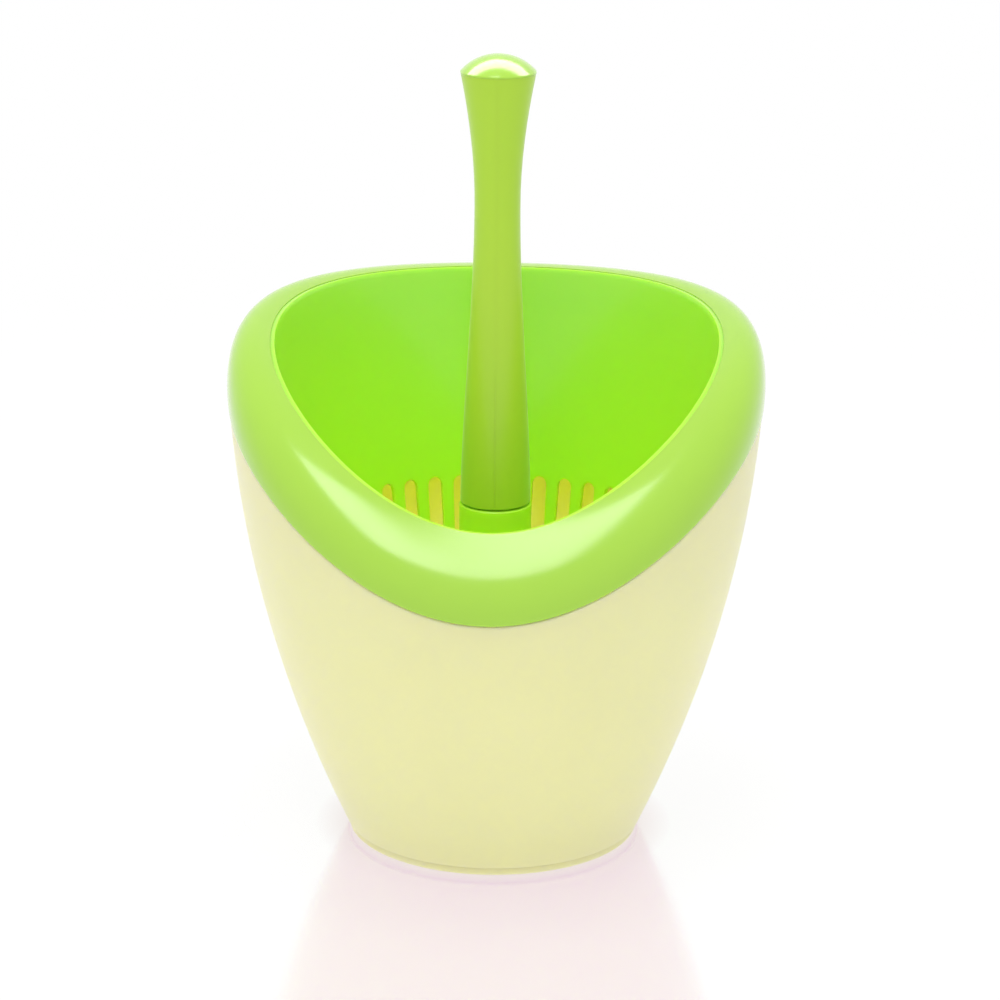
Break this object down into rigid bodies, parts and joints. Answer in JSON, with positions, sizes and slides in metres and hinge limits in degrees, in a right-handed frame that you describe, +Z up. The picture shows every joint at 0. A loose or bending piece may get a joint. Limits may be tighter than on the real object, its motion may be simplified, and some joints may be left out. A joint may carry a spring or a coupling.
{
  "type": "soil sieve",
  "caption": "Hand sieve for soil: a slotted green bowl with a flared centre handle and a domed scooped collar, which lifts out of a tapering cream catch pot.",
  "frame": {"origin": "centre of the pot's foot ring, on the surface that it stands on", "axes": "+Z up along the pot's axis, the low side of the scooped rim faces -Y, +X to the right when seen from the front"},
  "size_m": [0.1802, 0.1733, 0.2682],
  "materials": {
    "cream_plastic": "satin moulded cream plastic, slightly translucent",
    "leaf_plastic": "satin moulded leaf green plastic, slightly translucent",
    "lime_plastic": "polished moulded lime green plastic",
    "handle_plastic": "satin moulded green plastic",
    "steel": "plain zinc-plated steel"
  },
  "bodies": {
    "pot": {"catch_pot": "cream_plastic"},
    "basket": {"sieve_bowl": "leaf_plastic", "rim_collar": "lime_plastic", "handle_left_half": "handle_plastic", "handle_right_half": "handle_plastic", "handle_cap": "lime_plastic", "captive_nut": "steel", "handle_bolt": "steel", "bolt_washer": "steel"}
  },
  "joints": [
    {"name": "basket_lift", "type": "slide", "parent": "pot", "child": "basket", "axis": [0, 0, 1], "range_m": [0, 0.09]}
  ]
}
